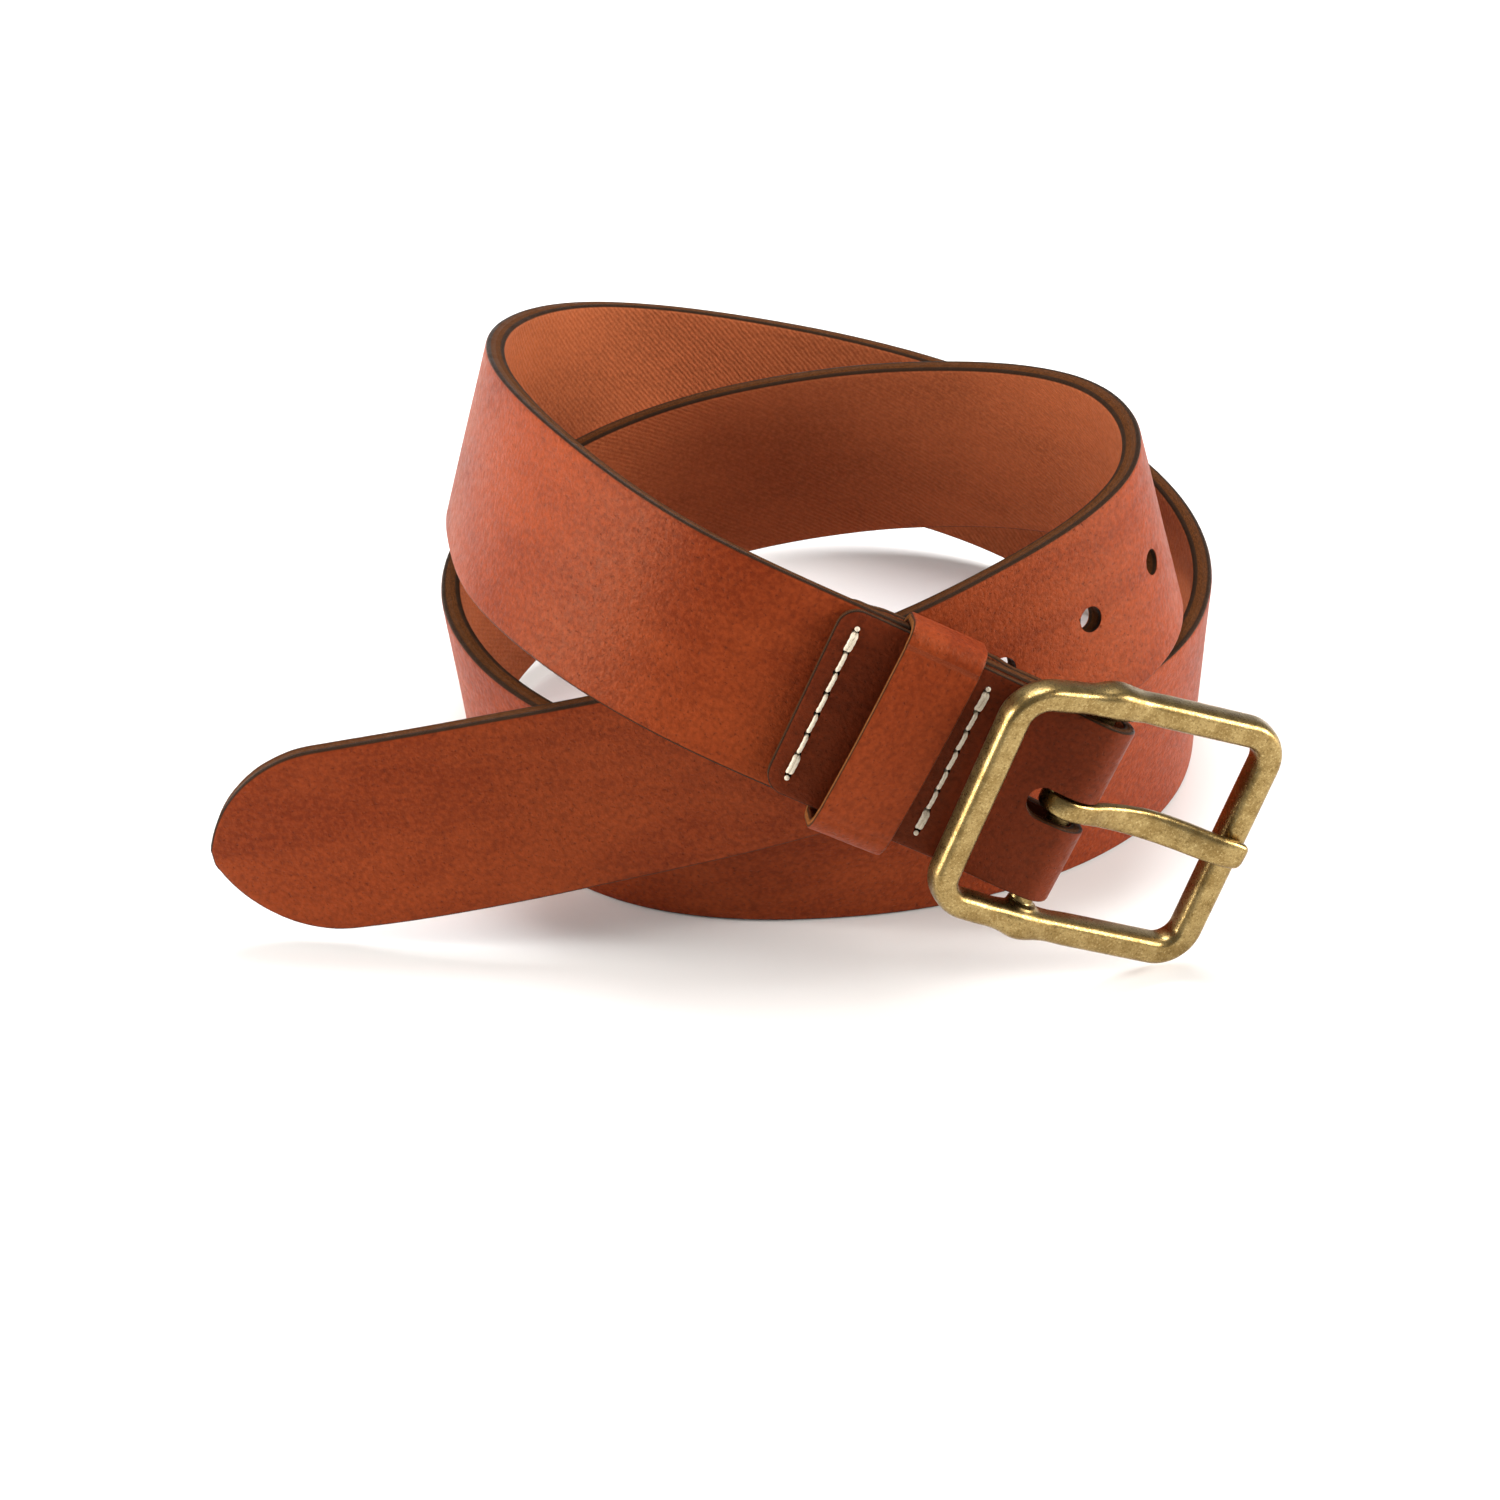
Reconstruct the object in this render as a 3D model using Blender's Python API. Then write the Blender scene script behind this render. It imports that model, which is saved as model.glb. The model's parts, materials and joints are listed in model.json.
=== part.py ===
"""Leather belt, coiled twice and standing on its lower edges, with a brass centre-bar buckle.

The strap, the chape and the threads are first laid out flat (along, across, height off the leather)
and then carried onto the coil, so every width, thickness and hole keeps its true size.
"""
import math

import bmesh
import bpy
import numpy as np
from mathutils import Matrix, Vector

MM = 0.001

# ---- leather strap ----
STRAP_WIDTH = 38.0
STRAP_THICK = 4.0
STRAP_EDGE_BEVEL = 0.8
STRAP_CLEAR_OF_BAR = 10.0      # the strap ends this far short of the buckle's centre bar
TIP_LENGTH = 24.1              # length of the point, cut as two arcs that meet at a blunt nose
TIP_RADIUS = 25.3
HOLE_DIA = 5.0
HOLE_COUNT = 5
HOLE_FIRST = 115.0             # from the tip
HOLE_PITCH = 20.0

# ---- chape: the folded tab that holds the buckle ----
CHAPE_WIDTH = 37.4
CHAPE_THICK = 2.5
CHAPE_TOP_LENGTH = 52.4        # from the centre bar to the end, on the grain side
CHAPE_BACK_LENGTH = 53.0
CHAPE_CORNER = 4.0
SLOT_WIDTH = 6.6
SLOT_REACH = 6.5               # from the centre bar to each end of the prong slot

# ---- keeper ----
KEEPER_WIDTH = 15.0
KEEPER_THICK = 2.0
KEEPER_FROM_BAR = 33.2         # centre of the keeper
KEEPER_INNER_HALF = 19.9
KEEPER_ACROSS = -0.6           # the loop hangs low on the strap
KEEPER_ROOM = 1.05             # over the chape at the loop's corners
KEEPER_DOME = 1.5              # how far the loop's front bows outward in the middle
KEEPER_SLOPE = 0.08            # its front stands off more on the side away from the bar
KEEPER_SKEW = math.radians(2.2)

# ---- stitching ----
ROW_FROM_BAR = (48.7, 22.2)
STITCH_PITCH = 4.2
STITCH_COUNT = 7
STITCH_HOLE_DIA = 1.8
THREAD_DIA = 0.9

# ---- buckle frame, in its own plane: t from the bar toward the free end, v across, h outward ----
FRAME_LEFT = -22.0
FRAME_RIGHT = 37.9
FRAME_TALL = 53.0
FRAME_RAIL = 5.5
FRAME_DEPTH = 5.6
FRAME_CORNER = 8.6             # outer corner radius
FRAME_RISE = 1.9               # the rails' middle plane lies this far in front of the centre bar
FRAME_ACROSS = -0.6            # the frame hangs a little low in the chape
FRAME_TILT = math.radians(-19.0)
FRAME_TURN = math.radians(3.1)     # the worn frame sits slightly askew on its bar, in its plane
FRAME_ROLL = math.radians(-1.1)    # and about t
HEEL_TAPER = 0.113             # the heel side narrows by this much per side and millimetre
HEEL_LIFT = 0.05               # and curves outward
HEEL_START = 1.2               # t where the taper starts
BAR_DIA = 4.6
EAR_RADIUS = 3.7               # bosses where the bar meets the long rails
EAR_HEIGHT = 1.2
BAR_HEIGHT = 1.1               # the bar's axis from the strap's middle plane
BAR_PAST = 1.3                 # and past the end of the strap's guided middle line

# ---- prong ----
PRONG_THICK = 2.5
PRONG_NECK = 4.2
PRONG_WIDTH = 5.7
PRONG_REACH = 37.2
PRONG_ACROSS = 0.5             # v of the curl's middle
PRONG_DRIFT = 0.04             # sideways per millimetre of reach
CURL_END = -20.0               # where the curl round the bar ends, degrees in the frame's side view

GAP = 0.3

# Where the strap's middle line is led, from the tip to the centre bar: x, y, z in mm and the lean of
# its upper edge toward the inside of the coil in degrees. Evenly spaced along the strap.
ROUTE = (
    (-102, -17, 18, 3),     # tip, its lower corner on the floor
    (-64, -20, 26, 14),     # first front, climbing
    (-26, -18, 34, 8),
    (13, -20, 45, 3),
    (49, -9, 55, 16),
    (82, 16, 63, 19),       # upper turn on the right, over the lower coil's edge
    (76, 61, 58, 9),
    (45, 85, 48, 4),        # inner back, coming down
    (8, 96, 38, 0),
    (-31, 92, 28, -5),
    (-60, 61, 20, -13),     # lower turn on the left
    (-55, 20, 19, -4),
    (-27, -11, 19, 2),      # lower front, on the floor
    (14, -15, 19, -2),
    (52, -5, 19, 1),
    (85, 20, 19, 0),
    (93, 60, 19, -4),       # lower turn on the right
    (77, 98, 20, -9),
    (44, 121, 25, -5),      # outer back, climbing
    (5, 125, 32, -12),
    (-34, 119, 41, -15),
    (-57, 86, 56, 14),      # upper turn on the left
    (-54, 47, 66, 14),
    (-43, 10, 74, 34),
    (-17, -24, 74, 28),     # outer front, coming down to the buckle
    (22, -27, 56, 20),
    (57, -30, 40, 13),      # centre bar
)


def clear_scene():
    for item in list(bpy.data.objects):
        bpy.data.objects.remove(item, do_unlink=True)


def collection(name, hidden=False):
    group = bpy.data.collections.new(name)
    bpy.context.scene.collection.children.link(group)
    group.hide_render = hidden
    return group


def material(name, colour, roughness, metallic):
    made = bpy.data.materials.new(name)
    made.use_nodes = True
    shader = made.node_tree.nodes["Principled BSDF"]
    shader.inputs["Base Color"].default_value = (*colour, 1.0)
    shader.inputs["Roughness"].default_value = roughness
    shader.inputs["Metallic"].default_value = metallic
    return made


class Lay:
    """The coil: a smooth curve through the route with its across and outward directions."""

    def __init__(self):
        guide = np.array(ROUTE, float)
        first = 2 * guide[0] - guide[1]
        last = 2 * guide[-1] - guide[-2]
        self.guide = np.vstack([first, guide, last])
        steps = np.linspace(0, len(guide) - 1, 60 * (len(guide) - 1) + 1)
        rows = [self.sample(t) for t in steps]
        place = np.array([r[0] for r in rows])
        run = np.array([r[1] for r in rows])
        lean = np.radians(np.array([r[2] for r in rows]))
        along = run / np.linalg.norm(run, axis=1, keepdims=True)
        up = np.array([0.0, 0.0, 1.0]) - along[:, 2:3] * along
        up /= np.linalg.norm(up, axis=1, keepdims=True)
        out = np.cross(along, up)
        cos = np.cos(lean)[:, None]
        sin = np.sin(lean)[:, None]
        self.place = place
        self.along = along
        self.across = cos * up - sin * out
        self.out = cos * out + sin * up
        hops = np.linalg.norm(np.diff(place, axis=0), axis=1)
        self.length = np.concatenate([[0.0], np.cumsum(hops)])
        self.total = self.length[-1]

    def sample(self, t):
        """Uniform cubic B-spline: place, direction and lean at parameter t."""
        i = min(int(t), len(self.guide) - 4)
        f = t - i
        four = self.guide[i:i + 4]
        weight = np.array([(1 - f) ** 3, 3 * f ** 3 - 6 * f ** 2 + 4,
                           -3 * f ** 3 + 3 * f ** 2 + 3 * f + 1, f ** 3]) / 6
        slope = np.array([-(1 - f) ** 2, 3 * f ** 2 - 4 * f, -3 * f ** 2 + 2 * f + 1, f ** 2]) / 2
        here = weight @ four
        return here[:3], slope @ four[:, :3], here[3]

    def frame(self, s):
        """Place and the three directions at distance s from the tip, in mm."""
        if s >= self.total:
            place = self.place[-1] + (s - self.total) * self.along[-1]
            return place, self.along[-1], self.across[-1], self.out[-1]
        row = [np.interp(s, self.length, grid[:, k])
               for grid in (self.place, self.along, self.across, self.out) for k in range(3)]
        place, along, across, out = (np.array(row[k:k + 3]) for k in (0, 3, 6, 9))
        along /= np.linalg.norm(along)
        across -= (across @ along) * along
        across /= np.linalg.norm(across)
        return place, along, across, np.cross(along, across)

    def carry(self, s, v, n):
        place, _, across, out = self.frame(s)
        return place + v * across + n * out


def new_object(name, mesh, group, surface):
    item = bpy.data.objects.new(name, mesh)
    group.objects.link(item)
    mesh.materials.append(surface)
    return item


def sweep_mesh(name, loops):
    """A closed solid from equal rings of points, capped at both ends."""
    mesh = bpy.data.meshes.new(name)
    bm = bmesh.new()
    rings = [[bm.verts.new(p) for p in ring] for ring in loops]
    size = len(rings[0])
    for a, b in zip(rings, rings[1:]):
        for k in range(size):
            bm.faces.new((a[k], a[(k + 1) % size], b[(k + 1) % size], b[k]))
    bm.faces.new(tuple(reversed(rings[0])))
    bm.faces.new(tuple(rings[-1]))
    bmesh.ops.recalc_face_normals(bm, faces=bm.faces)
    bm.to_mesh(mesh)
    bm.free()
    return mesh


def ring_mesh(name, loops):
    """A closed ring-shaped solid: the last loop joins the first."""
    mesh = bpy.data.meshes.new(name)
    bm = bmesh.new()
    rings = [[bm.verts.new(p) for p in ring] for ring in loops]
    size = len(rings[0])
    for a, b in zip(rings, rings[1:] + rings[:1]):
        for k in range(size):
            bm.faces.new((a[k], a[(k + 1) % size], b[(k + 1) % size], b[k]))
    bmesh.ops.recalc_face_normals(bm, faces=bm.faces)
    bm.to_mesh(mesh)
    bm.free()
    return mesh


def band_section(half, thick, bevel, inner=0):
    """Section of a leather band, (across, height) points: flat faces, with inner points, and eased edges."""
    h = thick / 2
    soft = bevel * 0.3
    flat = half - bevel
    face = [(-flat + 2 * flat * (k + 1) / (inner + 1), h) for k in range(inner)]
    side = [(flat, h), (half - soft, h - soft), (half, h - bevel)]
    right = side + [(v, -n) for v, n in reversed(side)]
    back = [(-v, -n) for v, n in face]
    left = [(-v, -n) for v, n in right]
    return face + right + back + left


def cylinder(name, x, y, diameter, height, sides, group):
    mesh = bpy.data.meshes.new(name)
    bm = bmesh.new()
    bmesh.ops.create_cone(bm, cap_ends=True, segments=sides, radius1=diameter / 2, radius2=diameter / 2,
                          depth=height, matrix=Matrix.Translation((x, y, 0.0)))
    bm.to_mesh(mesh)
    bm.free()
    item = bpy.data.objects.new(name, mesh)
    group.objects.link(item)
    item.display_type = "WIRE"
    return item


def cut(target, cutters):
    """Subtract every cutter, then bake the result into the target's mesh."""
    for cutter in cutters:
        step = target.modifiers.new("cut", "BOOLEAN")
        step.operation = "DIFFERENCE"
        step.solver = "EXACT"
        step.object = cutter
    bake(target)


def bake(target):
    depsgraph = bpy.context.evaluated_depsgraph_get()
    made = bpy.data.meshes.new_from_object(target.evaluated_get(depsgraph))
    target.modifiers.clear()
    old = target.data
    target.data = made
    bpy.data.meshes.remove(old)


def triangulate(mesh):
    bm = bmesh.new()
    bm.from_mesh(mesh)
    bmesh.ops.triangulate(bm, faces=bm.faces, quad_method="BEAUTY", ngon_method="BEAUTY")
    bm.to_mesh(mesh)
    bm.free()


def stitch_across():
    """Positions across the strap of one row's holes."""
    return [(k - STITCH_COUNT / 2) * STITCH_PITCH for k in range(STITCH_COUNT + 1)]


def strap(lay, group, cutters, surface):
    end = lay.total - STRAP_CLEAR_OF_BAR
    half = STRAP_WIDTH / 2
    spots = []
    for s in (0.0, 1.2, 2.8, 4.8, 7.2, 10.2, 14.0, 18.5):
        spots.append((s, half - TIP_RADIUS + math.sqrt(TIP_RADIUS ** 2 - (TIP_LENGTH - s) ** 2)))
    body = np.linspace(TIP_LENGTH, end, 160)
    spots += [(s, half) for s in body]
    loops = []
    for s, w in spots:
        loops.append([(s, v, n) for v, n in band_section(w, STRAP_THICK, STRAP_EDGE_BEVEL, 3)])
    item = new_object("strap", sweep_mesh("strap", loops), group, surface)
    tools = []
    for k in range(HOLE_COUNT):
        tools.append(cylinder(f"cut_hole_{k + 1}", HOLE_FIRST + k * HOLE_PITCH, 0.0, HOLE_DIA, 12.0, 20,
                              cutters))
    for row, back in enumerate(ROW_FROM_BAR):
        for k, v in enumerate(stitch_across()):
            tools.append(cylinder(f"cut_strap_stitch_{row + 1}_{k + 1}", lay.total - back, v,
                                  STITCH_HOLE_DIA, 12.0, 8, cutters))
    cut(item, tools)
    triangulate(item.data)
    for vert in item.data.vertices:
        s, v, n = vert.co
        vert.co = lay.carry(s, v, n)
    return item


def smooth_step(x):
    x = min(max(x, 0.0), 1.0)
    return x * x * (3 - 2 * x)


TOP_LEVEL = STRAP_THICK / 2 + GAP + CHAPE_THICK / 2
FOLD_RADIUS = BAR_DIA / 2 + GAP + CHAPE_THICK / 2
HUMP = KEEPER_THICK + GAP
LEG_POINTS = 27
FOLD_POINTS = 11


def top_level(back):
    """Height of the chape's top leg: it rises toward the fold."""
    settle = smooth_step((back + BAR_PAST) / 19.0)
    return (1 - settle) * (BAR_HEIGHT + FOLD_RADIUS) + settle * TOP_LEVEL


def back_level(back):
    """Height of the chape's back leg: it lifts over the keeper's back between the two rows."""
    reach = KEEPER_WIDTH / 2 + 3.0
    ease = 4.2
    away = abs(back - KEEPER_FROM_BAR + 0.7)
    hump = 1 - smooth_step((away - reach) / ease)
    settle = smooth_step((back + BAR_PAST) / 10.0)
    level = (1 - settle) * (BAR_HEIGHT - FOLD_RADIUS) - settle * TOP_LEVEL
    return level - HUMP * hump


def chape_path():
    """Middle line of the chape in the (distance back from the bar, height) plane, end to end."""
    points = []
    for back in np.linspace(CHAPE_TOP_LENGTH, -BAR_PAST, LEG_POINTS):
        points.append((back, top_level(back)))
    for k in range(FOLD_POINTS):
        a = math.pi * (k + 1) / (FOLD_POINTS + 1)
        points.append((-BAR_PAST - (FOLD_RADIUS + 0.35) * math.sin(a),
                       BAR_HEIGHT + FOLD_RADIUS * math.cos(a)))
    for back in np.linspace(-BAR_PAST, CHAPE_BACK_LENGTH, 37):
        points.append((back, back_level(back)))
    return np.array(points)


def chape(lay, group, cutters, surface):
    path = chape_path()
    hops = np.linalg.norm(np.diff(path, axis=0), axis=1)
    dist = np.concatenate([[0.0], np.cumsum(hops)])
    total = dist[-1]
    half = CHAPE_WIDTH / 2
    marks = []
    for deg in (20, 45, 70):
        a = math.radians(deg)
        marks.append((CHAPE_CORNER * (1 - math.cos(a)), half - CHAPE_CORNER * (1 - math.sin(a))))
    inner = np.concatenate([np.linspace(CHAPE_CORNER, 44.0, 9), np.linspace(46.5, 66.0, 16),
                            np.linspace(68.0, total - CHAPE_CORNER, 26)])
    spots = marks + [(q, half) for q in inner] + [(total - q, w) for q, w in reversed(marks)]
    spots = [(0.0, spots[0][1] - 1.0)] + spots + [(total, spots[0][1] - 1.0)]
    loops = []
    for q, w in spots:
        loops.append([(q, v, n) for v, n in band_section(w, CHAPE_THICK, 0.5, 3)])
    item = new_object("chape", sweep_mesh("chape", loops), group, surface)

    top_bar = dist[LEG_POINTS - 1] - BAR_PAST
    back_bar = dist[LEG_POINTS + FOLD_POINTS] + BAR_PAST
    slot_a = top_bar - SLOT_REACH + SLOT_WIDTH / 2
    slot_b = back_bar + SLOT_REACH - SLOT_WIDTH / 2
    tools = []
    for tag, q in (("top", slot_a), ("back", slot_b)):
        tools.append(cylinder(f"cut_slot_{tag}", q, 0.0, SLOT_WIDTH, 10.0, 20, cutters))
    mesh = bpy.data.meshes.new("cut_slot")
    bm = bmesh.new()
    bmesh.ops.create_cube(bm, size=1.0)
    for vert in bm.verts:
        vert.co = Vector(((slot_a + slot_b) / 2 + vert.co.x * (slot_b - slot_a), vert.co.y * SLOT_WIDTH,
                          vert.co.z * 10.0))
    bm.to_mesh(mesh)
    bm.free()
    bridge = bpy.data.objects.new("cut_slot", mesh)
    bridge.display_type = "WIRE"
    cutters.objects.link(bridge)
    tools.append(bridge)
    for row, back in enumerate(ROW_FROM_BAR):
        spots = (CHAPE_TOP_LENGTH - back, float(back_distance(path, dist, back)))
        for side, q in zip(("top", "back"), spots):
            for k, v in enumerate(stitch_across()):
                tools.append(cylinder(f"cut_chape_{side}_{row + 1}_{k + 1}", q, v, STITCH_HOLE_DIA, 6.0,
                                      8, cutters))
    cut(item, tools)
    triangulate(item.data)
    for vert in item.data.vertices:
        q, v, n = vert.co
        back, level, lift_back, lift_level = on_path(path, dist, q)
        vert.co = lay.carry(lay.total - back - n * lift_back, v, level + n * lift_level)
    return item


def back_distance(path, dist, back):
    """Distance along the chape of a point on its back leg."""
    first = LEG_POINTS + FOLD_POINTS
    return np.interp(back, path[first:, 0], dist[first:])


def on_path(path, dist, q):
    """Point of the chape's middle line at distance q, and the outward normal there."""
    back = np.interp(q, dist, path[:, 0])
    level = np.interp(q, dist, path[:, 1])
    step = 0.8
    ahead = np.array([np.interp(q + step, dist, path[:, k]) for k in (0, 1)])
    behind = np.array([np.interp(q - step, dist, path[:, k]) for k in (0, 1)])
    run = ahead - behind
    run /= np.linalg.norm(run)
    return back, level, run[1], -run[0]


def keeper(lay, group, surface):
    """Leather loop round the strap and the chape's top leg; its back lies under the strap."""
    t = KEEPER_THICK / 2
    half = KEEPER_INNER_HALF + t
    top = TOP_LEVEL + CHAPE_THICK / 2 + KEEPER_ROOM + t
    low = -(STRAP_THICK / 2 + GAP + t)
    soft = 3.2
    tight = 2.2
    arcs = ((half - soft, top - soft, soft, 90, 0), (half - tight, low + tight, tight, 0, -90),
            (-half + tight, low + tight, tight, -90, -180), (-half + soft, top - soft, soft, 180, 90))
    middle = []
    for cv, cn, radius, start, stop in arcs:
        for k in range(5):
            a = math.radians(start + (stop - start) * k / 4)
            middle.append((cv + radius * math.cos(a), cn + radius * math.sin(a), math.cos(a), math.sin(a)))
    across = [half * k / 3.6 for k in (2, 1, 0, -1, -2)]
    middle[10:10] = [(v, low, 0.0, -1.0) for v in across]
    for v in reversed(across):
        bow = KEEPER_DOME * math.cos(math.pi * v / (2 * half))
        middle.append((v, top + bow, 0.0, 1.0))
    loops = []
    for v, n, nv, nn in middle:
        ring = []
        for along, height in band_section(KEEPER_WIDTH / 2, KEEPER_THICK, 0.5, 3):
            s = lay.total - KEEPER_FROM_BAR + along + v * math.tan(KEEPER_SKEW)
            lift = -KEEPER_SLOPE * along * smooth_step(n / top)
            ring.append(lay.carry(s, KEEPER_ACROSS + v + height * nv, n + lift + height * nn))
        loops.append(ring)
    return new_object("keeper", ring_mesh("keeper", loops), group, surface)


def thread(lay, name, back, side, group, surface):
    """One thread of a lockstitch row: it runs along its face and dips into every hole."""
    holes = stitch_across()
    r = THREAD_DIA / 2
    level = TOP_LEVEL if side > 0 else -back_level(back)
    top = level + CHAPE_THICK / 2 + r + 0.25
    knot = r + 0.15
    points = [(holes[0], knot), (holes[0], top - 1.1), (holes[0] + 0.12, top - 0.45)]
    for a, b in zip(holes, holes[1:]):
        points += [(a + 0.5, top - 0.1), (a + 1.0, top + 0.1), ((a + b) / 2, top + 0.2),
                   (b - 1.0, top + 0.1), (b - 0.5, top - 0.1)]
        if b != holes[-1]:
            points += [(b, top - 0.4)]
    points += [(holes[-1] - 0.12, top - 0.45), (holes[-1], top - 1.1), (holes[-1], knot)]
    line = np.array(points)
    loops = []
    for k, (v, n) in enumerate(line):
        run = line[min(k + 1, len(line) - 1)] - line[max(k - 1, 0)]
        run /= np.linalg.norm(run)
        ring = []
        for j in range(6):
            a = 2 * math.pi * j / 6
            dv = -run[1] * math.cos(a) * r
            dn = run[0] * math.cos(a) * r
            ring.append(lay.carry(lay.total - back + r * math.sin(a), v + dv, side * (n + dn)))
        loops.append(ring)
    return new_object(name, sweep_mesh(name, loops), group, surface)


class BucklePlane:
    """The buckle's own directions at the centre bar: t toward the free end, v across, h outward."""

    def __init__(self, lay):
        place, along, across, out = lay.frame(lay.total)
        self.bar = place + BAR_PAST * along + BAR_HEIGHT * out
        self.across = across
        self.t = math.cos(FRAME_TILT) * along + math.sin(FRAME_TILT) * out
        self.h = math.cos(FRAME_TILT) * out - math.sin(FRAME_TILT) * along

    def carry(self, t, v, h):
        return self.bar + t * self.t + v * self.across + h * self.h


def rail_section():
    """Rounded section of the frame's rails: (outward in the plane, depth) points."""
    points = []
    for k in range(12):
        a = 2 * math.pi * k / 12
        c, s = math.cos(a), math.sin(a)
        points.append((FRAME_RAIL / 2 * math.copysign(abs(c) ** 0.75, c),
                       FRAME_DEPTH / 2 * math.copysign(abs(s) ** 0.75, s)))
    return points


def rounded_path():
    """Middle line of the frame with its outward direction, corner by corner."""
    radius = FRAME_CORNER - FRAME_RAIL / 2
    left = FRAME_LEFT + FRAME_CORNER
    right = FRAME_RIGHT - FRAME_CORNER
    reach = FRAME_TALL / 2 - FRAME_CORNER
    corners = ((right, FRAME_ACROSS + reach, 0), (left, FRAME_ACROSS + reach, 90),
               (left, FRAME_ACROSS - reach, 180), (right, FRAME_ACROSS - reach, 270))
    path = []
    for t, v, start in corners:
        for k in range(7):
            a = math.radians(start + 15 * k)
            path.append((t + radius * math.cos(a), v + radius * math.sin(a), math.cos(a), math.sin(a)))
    return path


def askew(t, v, h):
    """Taper and lift of the heel side, then the frame's small turn and roll on its bar."""
    past = max(HEEL_START - t, 0.0)
    v = FRAME_ACROSS + (v - FRAME_ACROSS) * (1 - 2 * HEEL_TAPER * past / FRAME_TALL)
    h = h + HEEL_LIFT * past
    c, s = math.cos(FRAME_TURN), math.sin(FRAME_TURN)
    t, v = c * t - s * v, s * t + c * v
    return t, v, h + math.tan(FRAME_ROLL) * v


def buckle_frame(plane, group, cutters, surface):
    loops = []
    for t, v, ct, cv in rounded_path():
        loops.append([askew(t + w * ct, v + w * cv, FRAME_RISE + h) for w, h in rail_section()])
    item = new_object("buckle_frame", ring_mesh("buckle_frame", loops), group, surface)
    reach = FRAME_TALL / 2 - FRAME_RAIL / 2
    bar_loops = []
    for v in (FRAME_ACROSS - reach, FRAME_ACROSS + reach):
        ring = []
        for k in range(16):
            a = 2 * math.pi * k / 16
            ring.append((BAR_DIA / 2 * math.cos(a), v, BAR_DIA / 2 * math.sin(a)))
        bar_loops.append(ring)
    joined = [("join_bar", bar_loops)]
    for tag, side in (("top", 1), ("low", -1)):
        ear = []
        for depth in (-side * FRAME_RAIL * 0.45, side * FRAME_RAIL * 0.62):
            ring = []
            for k in range(12):
                a = 2 * math.pi * k / 12
                ring.append((EAR_RADIUS * math.cos(a), FRAME_ACROSS + side * reach + depth,
                             EAR_HEIGHT + EAR_RADIUS * math.sin(a)))
            ear.append(ring)
        joined.append((f"join_ear_{tag}", ear))
    for name, rings in joined:
        extra = bpy.data.objects.new(name, sweep_mesh(name, rings))
        extra.display_type = "WIRE"
        cutters.objects.link(extra)
        step = item.modifiers.new("join", "BOOLEAN")
        step.operation = "UNION"
        step.solver = "EXACT"
        step.object = extra
    bake(item)
    triangulate(item.data)
    for vert in item.data.vertices:
        vert.co = plane.carry(*vert.co)
    return item


def prong(plane, group, surface):
    """The tongue: curled round the centre bar, then out over the far rail with a dip between."""
    radius = BAR_DIA / 2 + GAP + PRONG_THICK / 2
    rest = FRAME_RISE + FRAME_DEPTH / 2 + GAP + PRONG_THICK / 2
    line = []
    for deg in range(int(CURL_END) + 360, 89, -18):
        a = math.radians(deg)
        line.append((radius * math.cos(a), radius * math.sin(a), PRONG_NECK))
    line += [(0.0, radius, PRONG_NECK), (3.5, radius - 0.5, PRONG_NECK), (7.0, radius - 1.6, PRONG_NECK + 0.5),
             (11.4, radius - 2.2, PRONG_WIDTH - 0.4), (16.0, radius - 2.3, PRONG_WIDTH),
             (20.0, radius - 1.7, PRONG_WIDTH), (24.2, rest - 2.9, PRONG_WIDTH),
             (28.2, rest - 1.4, PRONG_WIDTH), (32.0, rest - 0.2, PRONG_WIDTH),
             (34.4, rest, PRONG_WIDTH - 0.2), (36.0, rest - 0.1, PRONG_WIDTH - 0.9),
             (PRONG_REACH, rest - 0.4, PRONG_WIDTH - 2.6)]
    pts = np.array(line)
    loops = []
    for k, (t, h, width) in enumerate(pts):
        run = pts[min(k + 1, len(pts) - 1)][:2] - pts[max(k - 1, 0)][:2]
        run /= np.linalg.norm(run)
        thick = PRONG_THICK if t < PRONG_REACH - 0.5 else PRONG_THICK - 1.0
        ring = []
        for v, n in band_section(width / 2, thick, 0.8):
            place = (t - n * run[1], PRONG_ACROSS + v + PRONG_DRIFT * max(t, 0.0), h + n * run[0])
            ring.append(plane.carry(*place))
        loops.append(ring)
    return new_object("prong", sweep_mesh("prong", loops), group, surface)


def finish(items, plane):
    """Scale to metres, stand the coil on the floor about the middle, and put hinges on the bar."""
    points = np.array([vert.co for item in items for vert in item.data.vertices])
    low = points.min(axis=0)
    high = points.max(axis=0)
    shift = np.array([(low[0] + high[0]) / 2, (low[1] + high[1]) / 2, low[2]])
    bar = (plane.bar - shift) * MM
    for item in items:
        hinge = bar if item.name in ("buckle_frame", "prong") else np.zeros(3)
        for vert in item.data.vertices:
            vert.co = (np.array(vert.co) - shift) * MM - hinge
        item.location = hinge
        item.data.shade_smooth()
        item.data.set_sharp_from_angle(angle=math.radians(35))


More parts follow.
